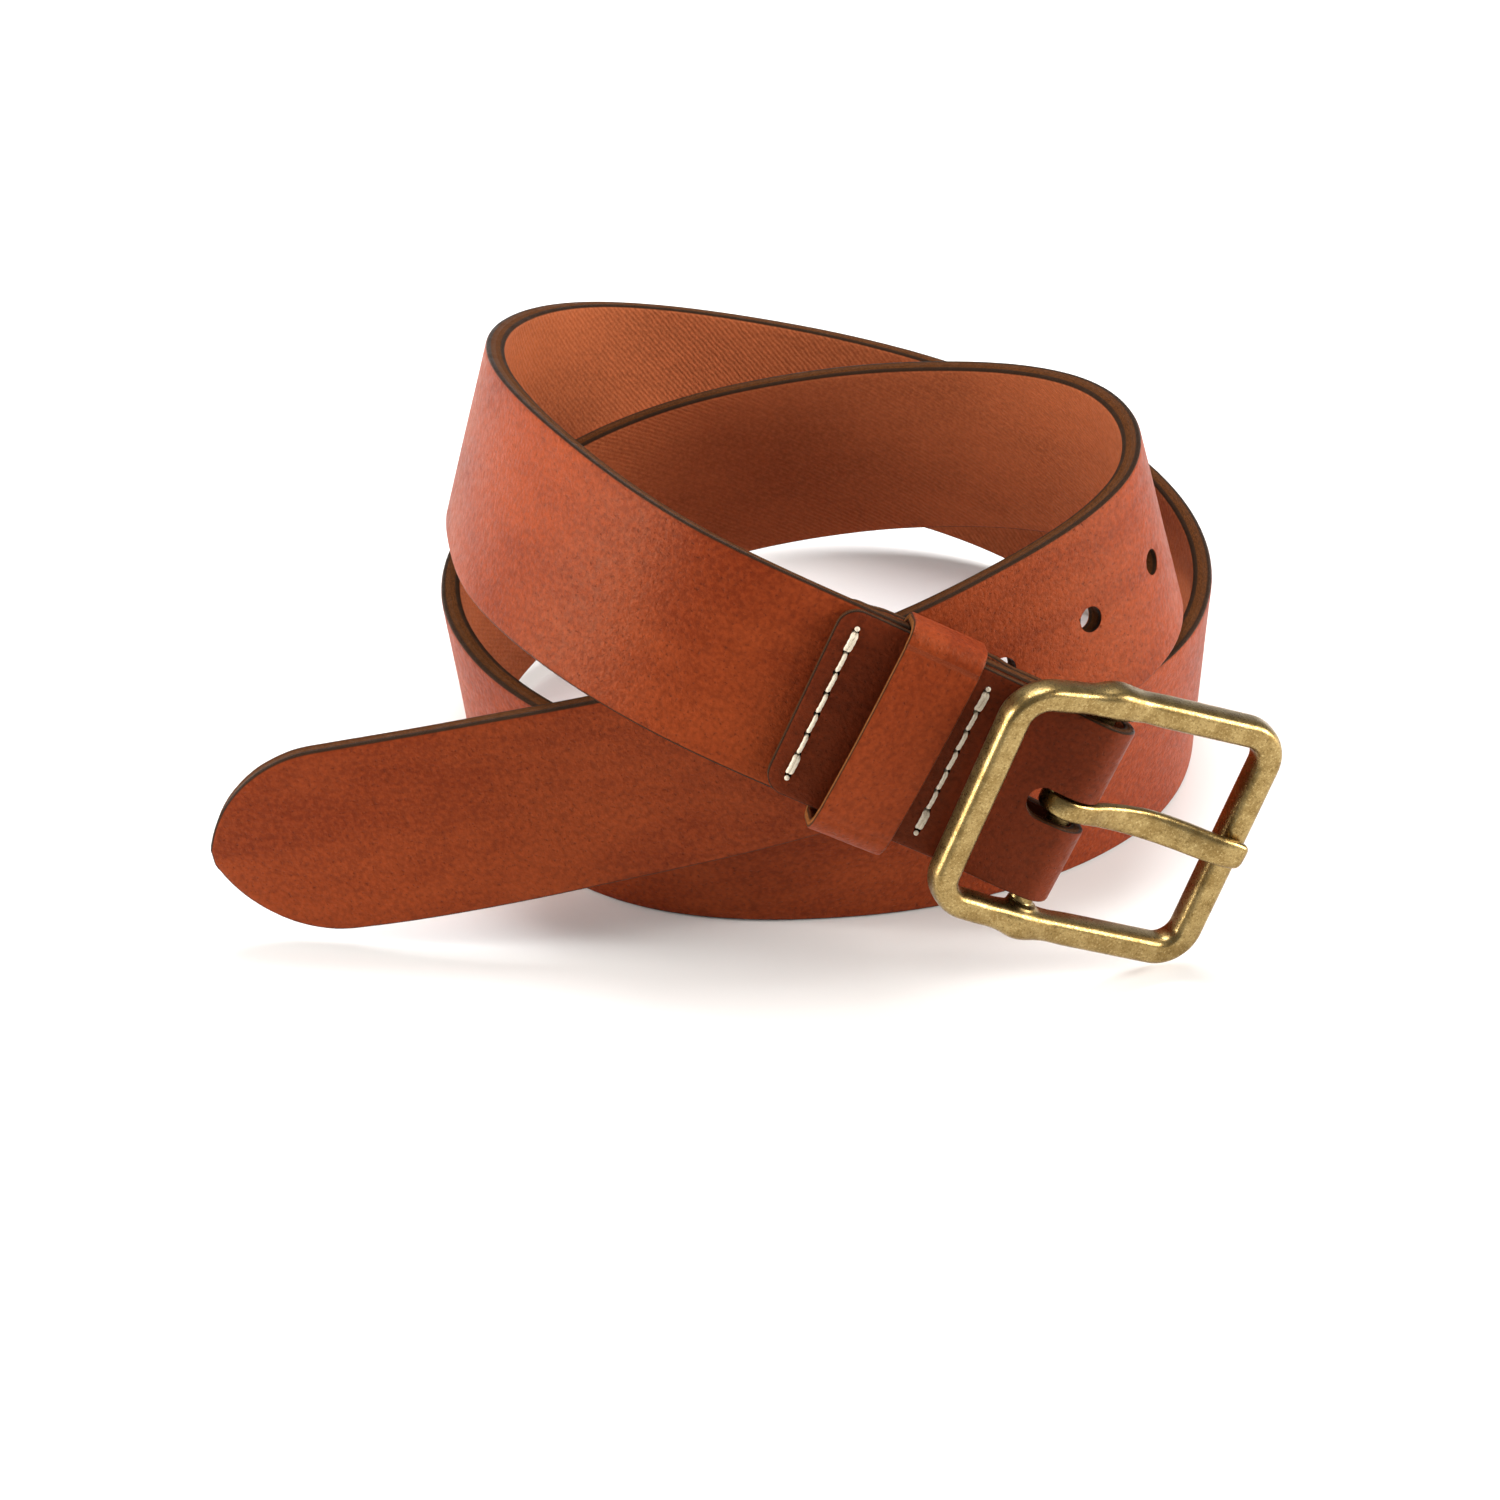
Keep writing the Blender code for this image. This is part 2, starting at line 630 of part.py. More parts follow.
def build():
    clear_scene()
    group = collection("leather_belt")
    cutters = collection("cutters", hidden=True)
    leather = material("strap_leather", (0.42, 0.13, 0.055), 0.5, 0.0)
    tab_leather = material("chape_leather", (0.36, 0.10, 0.045), 0.5, 0.0)
    loop_leather = material("keeper_leather", (0.42, 0.13, 0.055), 0.5, 0.0)
    frame_brass = material("frame_brass", (0.50, 0.36, 0.14), 0.38, 1.0)
    prong_brass = material("prong_brass", (0.52, 0.38, 0.15), 0.38, 1.0)
    ecru = material("ecru_thread", (0.72, 0.62, 0.47), 0.8, 0.0)
    lay = Lay()
    plane = BucklePlane(lay)
    items = [strap(lay, group, cutters, leather),
             chape(lay, group, cutters, tab_leather),
             keeper(lay, group, loop_leather),
             buckle_frame(plane, group, cutters, frame_brass),
             prong(plane, group, prong_brass)]
    for row, back in enumerate(ROW_FROM_BAR):
        for tag, side in (("front", 1), ("back", -1)):
            items.append(thread(lay, f"stitch_row_{row + 1}_{tag}", back, side, group, ecru))
    finish(items, plane)


build()
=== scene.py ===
"""Looks of the coiled leather belt: fine leather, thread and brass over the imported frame.

Leather pieces are made flat (along s, across v, height n, in mm), where holes and rounded edges are
cut, and then laid along the coil. The flat place of each point stays on the mesh as the attribute
"flat", which the materials read for grain side, flesh side and cut edges.
"""
import json
import math

import bmesh
import bpy
import numpy as np
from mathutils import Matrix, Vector
from mathutils.noise import noise


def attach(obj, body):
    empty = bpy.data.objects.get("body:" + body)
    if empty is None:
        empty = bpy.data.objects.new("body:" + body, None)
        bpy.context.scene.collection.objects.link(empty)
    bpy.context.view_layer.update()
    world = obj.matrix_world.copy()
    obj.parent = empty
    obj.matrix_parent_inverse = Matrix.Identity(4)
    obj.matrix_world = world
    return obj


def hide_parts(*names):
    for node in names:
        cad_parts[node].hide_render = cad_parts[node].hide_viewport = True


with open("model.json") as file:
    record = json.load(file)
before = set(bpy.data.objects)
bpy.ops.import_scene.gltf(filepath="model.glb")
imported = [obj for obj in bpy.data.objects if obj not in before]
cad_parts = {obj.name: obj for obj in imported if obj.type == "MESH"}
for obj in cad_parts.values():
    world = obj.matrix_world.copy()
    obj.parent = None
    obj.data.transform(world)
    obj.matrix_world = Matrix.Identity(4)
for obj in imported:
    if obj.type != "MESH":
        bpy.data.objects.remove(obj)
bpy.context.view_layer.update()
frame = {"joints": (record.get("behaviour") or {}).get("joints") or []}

MM = 0.001

# ---- driving sizes, in mm ----
STRAP_HALF, STRAP_THICK, STRAP_BEVEL = 19.0, 4.0, 0.85
STRAP_CLEAR_OF_BAR = 10.0
TIP_LENGTH, TIP_RADIUS = 24.1, 25.3
HOLE_DIA, HOLE_COUNT, HOLE_FIRST, HOLE_PITCH = 5.0, 5, 115.0, 20.0
DIMPLE_DEPTH, DIMPLE_REACH = 0.16, 0.9          # leather pressed down round a hole or under stitches

CHAPE_HALF, CHAPE_THICK, CHAPE_BEVEL = 18.7, 2.5, 0.55
CHAPE_TOP, CHAPE_BACK, CHAPE_CORNER = 52.4, 53.0, 4.0
SLOT_WIDTH, SLOT_REACH = 6.6, 6.5

KEEPER_WIDTH, KEEPER_THICK, KEEPER_BEVEL = 15.0, 2.0, 0.5
KEEPER_INNER_HALF, KEEPER_ACROSS, KEEPER_FROM_BAR = 19.9, -0.6, 33.2
KEEPER_ROOM, KEEPER_DOME, KEEPER_SLOPE = 1.05, 1.5, 0.08
KEEPER_FRONT_CORNER, KEEPER_BACK_CORNER = 3.2, 2.2
KEEPER_SKEW = math.radians(2.2)

ROW_FROM_BAR = (48.7, 22.2)
STITCH_PITCH, STITCH_COUNT, STITCH_HOLE = 4.2, 7, 1.3
THREAD_RADIUS, THREAD_TWIST = 0.40, 2.6

FRAME_LEFT, FRAME_RIGHT, FRAME_TALL = -22.0, 37.9, 53.0
FRAME_RAIL, FRAME_DEPTH, FRAME_CORNER = 5.5, 5.9, 8.6
FRAME_RISE, FRAME_ACROSS = 1.75, -0.6
FRAME_TILT, FRAME_TURN, FRAME_ROLL = math.radians(-19.0), math.radians(3.1), math.radians(-1.1)
HEEL_TAPER, HEEL_LIFT, HEEL_START = 0.113, 0.05, 1.2
BAR_DIA, BAR_HEIGHT, BAR_PAST = 4.6, 1.1, 1.3
BOSS_RADIUS, BOSS_RISE = 3.0, 0.6
CASTING_DETAIL = 0.3

PRONG_THICK, PRONG_NECK, PRONG_WIDTH, PRONG_REACH = 2.5, 4.2, 5.7, 37.2
PRONG_ACROSS, PRONG_DRIFT = 0.5, 0.04
PRONG_ROUNDING = 1.5
CURL_START_DEG, CURL_STOP_DEG, CURL_STEP_DEG = 340, 89, -9
RAIL_TOP = 4.7                                  # the far rail's face over the centre bar's axis

GAP = 0.3
CAMERA_AWAY, CAMERA_DOWN_DEG = 900.0, 35.0
LENS_RATIO = 3.129                              # the camera's distance over the width it sees there
AIM = (0.0, 0.0, 30.0)

# The strap's middle line, from the tip to the buckle: x, y, z in mm and the lean of its upper edge.
ROUTE = (
    (-102, -17, 18, 3),     # tip, its lower corner on the floor
    (-64, -20, 26, 14),     # first front, climbing
    (-26, -18, 34, 8),
    (13, -20, 45, 3),
    (49, -9, 55, 16),
    (82, 16, 63, 19),       # upper turn on the right, over the lower coil's edge
    (76, 61, 58, 9),
    (45, 85, 48, 4),        # inner back, coming down
    (8, 96, 38, 0),
    (-31, 92, 28, -5),
    (-60, 61, 20, -13),     # lower turn on the left
    (-55, 20, 19, -4),
    (-27, -11, 19, 2),      # lower front, on the floor
    (14, -15, 19, -2),
    (52, -5, 19, 1),
    (85, 20, 19, 0),
    (93, 60, 19, -4),       # lower turn on the right
    (77, 98, 20, -9),
    (44, 121, 25, -5),      # outer back, climbing
    (5, 125, 32, -12),
    (-34, 119, 41, -15),
    (-57, 86, 56, 14),      # upper turn on the left
    (-54, 47, 66, 14),
    (-43, 10, 74, 34),
    (-17, -24, 74, 28),     # outer front, coming down to the buckle
    (22, -27, 56, 20),
    (57, -30, 40, 13),      # centre bar
)

TOP_LEVEL = STRAP_THICK / 2 + GAP + CHAPE_THICK / 2
FOLD_RADIUS = BAR_DIA / 2 + GAP + CHAPE_THICK / 2
HUMP = KEEPER_THICK + GAP
LEG_POINTS, FOLD_POINTS = 120, 40               # points of the chape's section
POST_SIDES, RAIL_SIDES, PRONG_SIDES, THREAD_SIDES = 32, 40, 36, 12      # flats round each section


def unit(rows):
    return rows / np.linalg.norm(rows, axis=-1, keepdims=True)


def smooth_step(x):
    x = np.clip(x, 0.0, 1.0)
    return x * x * (3 - 2 * x)


class Lay:
    """The coil as a smooth curve with its across and outward directions; carries flat points onto it."""

    def __init__(self):
        guide = np.array(ROUTE, float)
        guide = np.vstack([2 * guide[0] - guide[1], guide, 2 * guide[-1] - guide[-2]])
        t = np.linspace(0, len(guide) - 3, 60 * (len(guide) - 3) + 1)
        i = np.minimum(t.astype(int), len(guide) - 4)
        f = (t - i)[:, None]
        weight = ((1 - f) ** 3, 3 * f ** 3 - 6 * f ** 2 + 4, -3 * f ** 3 + 3 * f ** 2 + 3 * f + 1, f ** 3)
        slope = (-(1 - f) ** 2, 3 * f ** 2 - 4 * f, -3 * f ** 2 + 2 * f + 1, f ** 2)
        here = sum(w * guide[i + k] for k, w in enumerate(weight)) / 6
        run = sum(w * guide[i + k, :3] for k, w in enumerate(slope)) / 2
        lean = np.radians(here[:, 3:4])
        along = unit(run)
        up = unit(np.array([0.0, 0.0, 1.0]) - along[:, 2:3] * along)
        out = np.cross(along, up)
        self.place = here[:, :3]
        self.along = along
        self.across = np.cos(lean) * up - np.sin(lean) * out
        self.out = np.cos(lean) * out + np.sin(lean) * up
        hops = np.linalg.norm(np.diff(self.place, axis=0), axis=1)
        self.length = np.concatenate([[0.0], np.cumsum(hops)])
        self.total = self.length[-1]
        self.shift = np.zeros(3)

    def at(self, table, s):
        return np.stack([np.interp(s, self.length, table[:, k]) for k in range(3)], -1)

    def carry(self, flat):
        """Flat (s, v, n) rows in mm to places in metres in the part's frame."""
        s, v, n = np.asarray(flat, float).T
        past = np.maximum(s - self.total, 0.0)[:, None] * self.along[-1]
        across = unit(self.at(self.across, s))
        out = unit(self.at(self.out, s))
        place = self.at(self.place, s) + past + v[:, None] * across + n[:, None] * out
        return (place + self.shift) * MM


class BucklePlane:
    """The buckle's directions at its centre bar: t toward the free end, v across, h outward."""

    def __init__(self, lay):
        along, out = lay.along[-1], lay.out[-1]
        self.bar = lay.place[-1] + BAR_PAST * along + BAR_HEIGHT * out
        self.across = lay.across[-1]
        self.t = math.cos(FRAME_TILT) * along + math.sin(FRAME_TILT) * out
        self.h = math.cos(FRAME_TILT) * out - math.sin(FRAME_TILT) * along
        lay.shift = np.array(frame["joints"][0]["pos_m"]) / MM - self.bar
        self.bar = self.bar + lay.shift

    def carry(self, rows):
        t, v, h = np.asarray(rows, float).T
        return (self.bar + t[:, None] * self.t + v[:, None] * self.across + h[:, None] * self.h) * MM


lay = Lay()
plane = BucklePlane(lay)


# ---- mesh helpers ----

def add_object(name, points, faces):
    mesh = bpy.data.meshes.new(name)
    mesh.from_pydata([tuple(p) for p in points], [], faces)
    made = bpy.data.objects.new(name, mesh)
    bpy.context.scene.collection.objects.link(made)
    return made


def circle(sides):
    """Cosine and sine of evenly spaced angles round a circle."""
    angles = [2 * math.pi * k / sides for k in range(sides)]
    return [(math.cos(a), math.sin(a)) for a in angles]


def get_points(item):
    points = np.zeros(len(item.data.vertices) * 3)
    item.data.vertices.foreach_get("co", points)
    return points.reshape(-1, 3)


def set_points(item, points):
    item.data.vertices.foreach_set("co", np.asarray(points, float).ravel())
    item.data.update()


def clean(item, sharp=40.0):
    """Outward closed mesh, triangles only where a cut left a many-sided face, shaded smooth."""
    bm = bmesh.new()
    bm.from_mesh(item.data)
    bmesh.ops.remove_doubles(bm, verts=bm.verts, dist=1e-6)
    bmesh.ops.triangulate(bm, faces=[f for f in bm.faces if len(f.verts) > 4])
    bmesh.ops.recalc_face_normals(bm, faces=bm.faces)
    bm.to_mesh(item.data)
    bm.free()
    item.data.shade_smooth()
    item.data.set_sharp_from_angle(angle=math.radians(sharp))


def keep_flat(item, flat):
    """Stores each point's flat place, in mm, for the materials."""
    layer = item.data.attributes.new("flat", "FLOAT_VECTOR", "POINT")
    layer.data.foreach_set("vector", np.asarray(flat, float).ravel())


def apply_modifiers(item):
    graph = bpy.context.evaluated_depsgraph_get()
    mesh = bpy.data.meshes.new_from_object(item.evaluated_get(graph))
    item.modifiers.clear()
    item.data = mesh


def round_half(d, half, bevel):
    """Half thickness at distance d in from the edge, with a rounded rim of the given size."""
    d = np.clip(d, 0.0, bevel)
    return half - bevel + np.sqrt(np.maximum(bevel ** 2 - (bevel - d) ** 2, 0.0))


def slab(name, s_rows, half_width, thick, bevel, edge_distance, closed=False):
    """Flat slab on a grid: rows along s, columns across, rims rounded by distance from the edge."""
    inset = bevel * np.array([0.0, 0.06, 0.2, 0.42, 0.7, 1.0])
    middle = np.linspace(-1, 1, 25)[1:-1]
    top, low = [], []
    for s, w in zip(s_rows, half_width):
        reach = w - inset * min(1.0, w / (2 * bevel))
        cols = np.concatenate([-reach, middle * reach[-1], reach[::-1]])
        n = round_half(edge_distance(s, cols), thick / 2, bevel)
        top.append(np.stack([np.full_like(cols, s), cols, n], -1))
        low.append(np.stack([np.full_like(cols, s), cols, -n], -1))
    top, low = np.array(top), np.array(low)
    rows, cols = top.shape[:2]
    points = np.concatenate([top.reshape(-1, 3), low.reshape(-1, 3)])
    index = np.arange(rows * cols).reshape(rows, cols)
    under = index + rows * cols
    faces = []
    last = rows if closed else rows - 1
    for i in range(last):
        j = (i + 1) % rows
        for k in range(cols - 1):
            faces.append((index[i, k], index[j, k], index[j, k + 1], index[i, k + 1]))
            faces.append((under[i, k], under[i, k + 1], under[j, k + 1], under[j, k]))
        for k in (0, cols - 1):
            faces.append((index[i, k], index[j, k], under[j, k], under[i, k]))
    if not closed:
        for i in (0, rows - 1):
            for k in range(cols - 1):
                faces.append((index[i, k], index[i, k + 1], under[i, k + 1], under[i, k]))
    return add_object(name, points, faces)


def punch(item, posts):
    """Cuts round holes, and slots where a post has a length, through a flat piece."""
    bm = bmesh.new()
    for s, v, dia, length in posts:
        ring = []
        for c, w in circle(POST_SIDES):
            ring.append((s + math.copysign(length / 2, c) + dia / 2 * c, v + dia / 2 * w))
        low = [bm.verts.new((x, y, -8.0)) for x, y in ring]
        high = [bm.verts.new((x, y, 8.0)) for x, y in ring]
        bm.faces.new(high)
        bm.faces.new(low[::-1])
        for k in range(POST_SIDES):
            j = (k + 1) % POST_SIDES
            bm.faces.new((low[k], low[j], high[j], high[k]))
    mesh = bpy.data.meshes.new("posts")
    bm.to_mesh(mesh)
    bm.free()
    cutter = bpy.data.objects.new("posts", mesh)
    bpy.context.scene.collection.objects.link(cutter)
    step = item.modifiers.new("punch", "BOOLEAN")
    step.operation = "DIFFERENCE"
    step.solver = "EXACT"
    step.object = cutter
    apply_modifiers(item)
    bpy.data.objects.remove(cutter)


def wobble(points, size, depth, seed=0.0):
    """Slow unevenness, in mm, from smooth noise with features of the given size."""
    return np.array([depth * noise(Vector((p[0] / size + seed, p[1] / size, seed))) for p in points])


def stitch_holes():
    """Places of one row's holes across the strap."""
    half = STITCH_PITCH * STITCH_COUNT / 2
    return [half - STITCH_PITCH * k for k in range(STITCH_COUNT + 1)]


# ---- strap ----

def tip_half(s):
    """Half width of the strap: two arcs that meet at a blunt nose."""
    back = np.maximum(TIP_LENGTH - s, 0.0)
    return STRAP_HALF - TIP_RADIUS + np.sqrt(TIP_RADIUS ** 2 - back ** 2)


def make_strap():
    end = lay.total - STRAP_CLEAR_OF_BAR
    s_rows = np.concatenate([[0.0, 0.05, 0.2, 0.45, 0.8], np.linspace(1.2, TIP_LENGTH, 24),
                             np.arange(TIP_LENGTH + 1.4, end - 1.0, 1.4),
                             end - np.array([0.8, 0.45, 0.2, 0.05, 0.0])])
    sweep = TIP_LENGTH * np.linspace(0, 1, 240)
    rim = np.stack([sweep, tip_half(sweep)], -1)

    def edge_distance(s, cols):
        d = np.minimum(np.minimum(STRAP_HALF - np.abs(cols), end - s), s)
        if s < TIP_LENGTH + 2:
            away = np.hypot(s - rim[:, 0][None], np.abs(cols)[:, None] - rim[:, 1][None])
            d = np.minimum(d, away.min(1))
        return d

    item = slab("strap_leather", s_rows, tip_half(s_rows), STRAP_THICK, STRAP_BEVEL, edge_distance)
    posts = [(HOLE_FIRST + k * HOLE_PITCH, 0.0, HOLE_DIA, 0.0) for k in range(HOLE_COUNT)]
    posts += [(lay.total - back, v, STITCH_HOLE, 0.0) for back in ROW_FROM_BAR for v in stitch_holes()]
    punch(item, posts)
    clean(item)
    flat = get_points(item)
    keep_flat(item, flat)
    bent = flat.copy()
    bent[:, 2] += wobble(flat, 17.0, 0.10, 3.0)
    for s, v, dia, _ in posts[:HOLE_COUNT]:
        away = np.hypot(flat[:, 0] - s, flat[:, 1] - v) - dia / 2
        dimple = np.exp(-(np.maximum(away, 0) / DIMPLE_REACH) ** 2)
        bent[:, 2] -= DIMPLE_DEPTH * np.sign(flat[:, 2]) * dimple
    set_points(item, lay.carry(bent))
    return item


# ---- chape ----

def top_level(back):
    settle = smooth_step((back + BAR_PAST) / 19.0)
    return (1 - settle) * (BAR_HEIGHT + FOLD_RADIUS) + settle * TOP_LEVEL


def back_level(back):
    away = np.abs(back - KEEPER_FROM_BAR + 0.7)
    hump = 1 - smooth_step((away - KEEPER_WIDTH / 2 - 3.0) / 4.2)
    settle = smooth_step((back + BAR_PAST) / 10.0)
    return (1 - settle) * (BAR_HEIGHT - FOLD_RADIUS) - settle * TOP_LEVEL - HUMP * hump


class ChapePath:
    """Middle line of the chape's section: down the front leg, round the bar, up the back leg."""

    def __init__(self):
        front = np.linspace(CHAPE_TOP, -BAR_PAST, LEG_POINTS)
        turn = np.linspace(0, math.pi, FOLD_POINTS + 2)[1:-1]
        rear = np.linspace(-BAR_PAST, CHAPE_BACK, LEG_POINTS)
        fold = np.stack([-BAR_PAST - (FOLD_RADIUS + 0.35) * np.sin(turn),
                         BAR_HEIGHT + FOLD_RADIUS * np.cos(turn)], -1)
        self.line = np.vstack([np.stack([front, top_level(front)], -1), fold,
                               np.stack([rear, back_level(rear)], -1)])
        hops = np.linalg.norm(np.diff(self.line, axis=0), axis=1)
        self.dist = np.concatenate([[0.0], np.cumsum(hops)])
        self.total = self.dist[-1]
        self.rear = LEG_POINTS + FOLD_POINTS
        self.bar_top = self.dist[LEG_POINTS - 1] - BAR_PAST
        self.bar_back = self.dist[self.rear] + BAR_PAST

    def back_q(self, back):
        """Distance along the chape of a point on its back leg."""
        return float(np.interp(back, self.line[self.rear:, 0], self.dist[self.rear:]))

    def carry(self, flat):
        """Flat (q, v, n) rows in mm to places in metres in the part's frame."""
        q, v, n = flat.T
        back = np.interp(q, self.dist, self.line[:, 0])
        level = np.interp(q, self.dist, self.line[:, 1])
        run = np.stack([np.interp(q + 0.4, self.dist, self.line[:, k])
                        - np.interp(q - 0.4, self.dist, self.line[:, k]) for k in (0, 1)], -1)
        run = unit(run)
        s = lay.total - back - n * run[:, 1]
        return lay.carry(np.stack([s, v, level - n * run[:, 0]], -1))


def make_chape():
    path = ChapePath()
    r = CHAPE_CORNER
    turn = np.linspace(0.12, math.pi / 2, 9)
    near = r * (1 - np.cos(turn))
    start = np.concatenate([[0.0, 0.03], near[1:]])
    rows = np.concatenate([start, np.arange(r + 0.8, path.total - r, 0.85), path.total - start[::-1]])
    inner = np.minimum(rows, path.total - rows)
    reach = CHAPE_HALF - r + np.sqrt(np.maximum(r * r - np.maximum(r - inner, 0.0) ** 2, 0.0))

    def edge_distance(q, cols):
        a = min(q, path.total - q)
        b = CHAPE_HALF - np.abs(cols)
        corner = r - np.hypot(r - a, np.maximum(r - b, 0.0))
        return np.where((a < r) & (b < r), np.maximum(corner, 0.0), np.minimum(a, b))

    item = slab("chape_leather", rows, reach, CHAPE_THICK, CHAPE_BEVEL, edge_distance)
    slot_a = path.bar_top - SLOT_REACH + SLOT_WIDTH / 2
    slot_b = path.bar_back + SLOT_REACH - SLOT_WIDTH / 2
    posts = [((slot_a + slot_b) / 2, 0.0, SLOT_WIDTH, slot_b - slot_a)]
    front_rows = [CHAPE_TOP - back for back in ROW_FROM_BAR]
    for front, back in zip(front_rows, ROW_FROM_BAR):
        for q in (front, path.back_q(back)):
            posts += [(q, v, STITCH_HOLE, 0.0) for v in stitch_holes()]
    punch(item, posts)
    clean(item)
    flat = get_points(item)
    keep_flat(item, flat)
    bent = flat.copy()
    bent[:, 2] += wobble(flat, 11.0, 0.08, 9.0)
    row_half = STITCH_PITCH * STITCH_COUNT / 2 + 0.9
    for q in front_rows:
        groove = np.exp(-((flat[:, 0] - q) / DIMPLE_REACH) ** 2) * (np.abs(flat[:, 1]) < row_half)
        bent[:, 2] -= DIMPLE_DEPTH * groove * (flat[:, 2] > 0)
    set_points(item, path.carry(bent))
    return item


# ---- keeper ----

def keeper_line():
    """The loop's middle line with its outward direction: (v, n, out v, out n) rows."""
    t = KEEPER_THICK / 2
    half = KEEPER_INNER_HALF + t
    top = TOP_LEVEL + CHAPE_THICK / 2 + KEEPER_ROOM + t
    low = -(STRAP_THICK / 2 + GAP + t)
    soft, tight = KEEPER_FRONT_CORNER, KEEPER_BACK_CORNER
    arcs = ((half - soft, top - soft, soft, 90, 0), (half - tight, low + tight, tight, 0, -90),
            (-half + tight, low + tight, tight, -90, -180), (-half + soft, top - soft, soft, 180, 90))
    rows = []
    for cv, cn, radius, start, stop in arcs:
        if rows:
            v0, n0 = rows[-1][:2]
            a = math.radians(start)
            v1, n1 = cv + radius * math.cos(a), cn + radius * math.sin(a)
            pieces = max(2, int(math.hypot(v1 - v0, n1 - n0) / 0.8))
            for k in range(1, pieces):
                f = k / pieces
                rows.append((v0 + (v1 - v0) * f, n0 + (n1 - n0) * f, math.cos(a), math.sin(a)))
        for k in range(11):
            a = math.radians(start + (stop - start) * k / 10)
            rows.append((cv + radius * math.cos(a), cn + radius * math.sin(a), math.cos(a), math.sin(a)))
    reach = half - soft
    for v in np.linspace(-reach, reach, 44)[1:-1]:
        bow = KEEPER_DOME * math.cos(math.pi * v / (2 * half))
        rows.append((v, top + bow, 0.0, 1.0))
    return np.array(rows), top


def make_keeper():
    line, top = keeper_line()
    rows = np.arange(len(line), dtype=float)
    wide = np.full(len(rows), KEEPER_WIDTH / 2)
    item = slab("keeper_leather", rows, wide, KEEPER_THICK, KEEPER_BEVEL,
                lambda s, cols: KEEPER_WIDTH / 2 - np.abs(cols), closed=True)
    grid = get_points(item)
    k = grid[:, 0].astype(int)
    ends = np.vstack([line, line[:1]])
    dist = np.concatenate([[0.0], np.cumsum(np.hypot(*np.diff(ends[:, :2], axis=0).T))])
    flat = np.stack([dist[k], grid[:, 1], grid[:, 2]], -1)
    out = unit(np.roll(line, -1, 0)[:, :2] - np.roll(line, 1, 0)[:, :2])
    out = np.stack([-out[:, 1], out[:, 0]], -1)
    out *= np.sign((out * line[:, 2:]).sum(1))[:, None]
    height = grid[:, 2] + wobble(flat, 9.0, 0.08, 5.0)
    v, n = line[k, 0], line[k, 1]
    along = grid[:, 1]
    s = lay.total - KEEPER_FROM_BAR + along + v * math.tan(KEEPER_SKEW)
    lift = -KEEPER_SLOPE * along * smooth_step(n / top)
    set_points(item, lay.carry(np.stack([s, KEEPER_ACROSS + v + height * out[k, 0],
                                         n + lift + height * out[k, 1]], -1)))
    keep_flat(item, flat)
    clean(item)
    return item


# ---- thread ----

def rope(path, radius):
    """Two-ply thread along (v, n) points: rings of (sideways, v, n)."""
    path = np.asarray(path)
    dense = np.linspace(0, len(path) - 1, 8 * len(path))
    line = np.stack([np.interp(dense, np.arange(len(path)), path[:, k]) for k in (0, 1)], -1)
    for _ in range(6):
        line[1:-1] = (line[:-2] + 2 * line[1:-1] + line[2:]) / 4
    run = unit(np.gradient(line, axis=0))
    gone = np.concatenate([[0.0], np.cumsum(np.linalg.norm(np.diff(line, axis=0), axis=1))])
    rings = []
    for (v, n), (rv, rn), far in zip(line, run, gone):
        ring = []
        for j in range(THREAD_SIDES):
            a = 2 * math.pi * j / THREAD_SIDES
            r = radius * (0.86 + 0.18 * abs(math.cos(a - THREAD_TWIST * far)))
            ring.append((r * math.sin(a), v - rn * r * math.cos(a), n + rv * r * math.cos(a)))
        rings.append(ring)
    return rings


def add_rings(points, faces, rings):
    """Adds one closed tube, capped at both ends, to a list of points and faces."""
    first, size = len(points), len(rings[0])
    for ring in rings:
        points += ring
    for i in range(len(rings) - 1):
        for j in range(size):
            p = first + i * size + j
            q = first + i * size + (j + 1) % size
            faces.append((p, q, q + size, p + size))
    faces.append(tuple(range(first, first + size)))
    faces.append(tuple(range(first + (len(rings) - 1) * size, first + len(rings) * size)))


def stitch_rings(k, row, turn, face):
    """One stitch between two holes; turn is its side in a doubled end stitch, or 0 when single."""
    a, b = stitch_holes()[k:k + 2]
    crown = face + (0.46 if turn else 0.30)
    dip = [(a - 0.40, face - 1.5), (a - 0.46, face - 0.5), (a - 0.80, crown - 0.12),
           ((a + b) / 2, crown),
           (b + 0.80, crown - 0.12), (b + 0.46, face - 0.5), (b + 0.40, face - 1.5)]
    slant = 0.18 + 0.05 * math.sin(7.0 * k + row)
    rings = []
    for ring in rope(dip, THREAD_RADIUS + (0.01 if turn else 0.0)):
        rings.append([(w + slant * ((v - (a + b) / 2) / STITCH_PITCH) + turn * 0.30, v, n)
                      for w, v, n in ring])
    return rings


def knot_rings(middle, face):
    """The small dot of thread past each end of a row."""
    rings = []
    for i in range(1, 8):
        lat = math.pi * i / 8
        rings.append([(0.5 * math.sin(lat) * c, middle + 0.5 * math.sin(lat) * w,
                       face + 0.06 + 0.4 * math.cos(lat)) for c, w in circle(THREAD_SIDES)])
    return rings


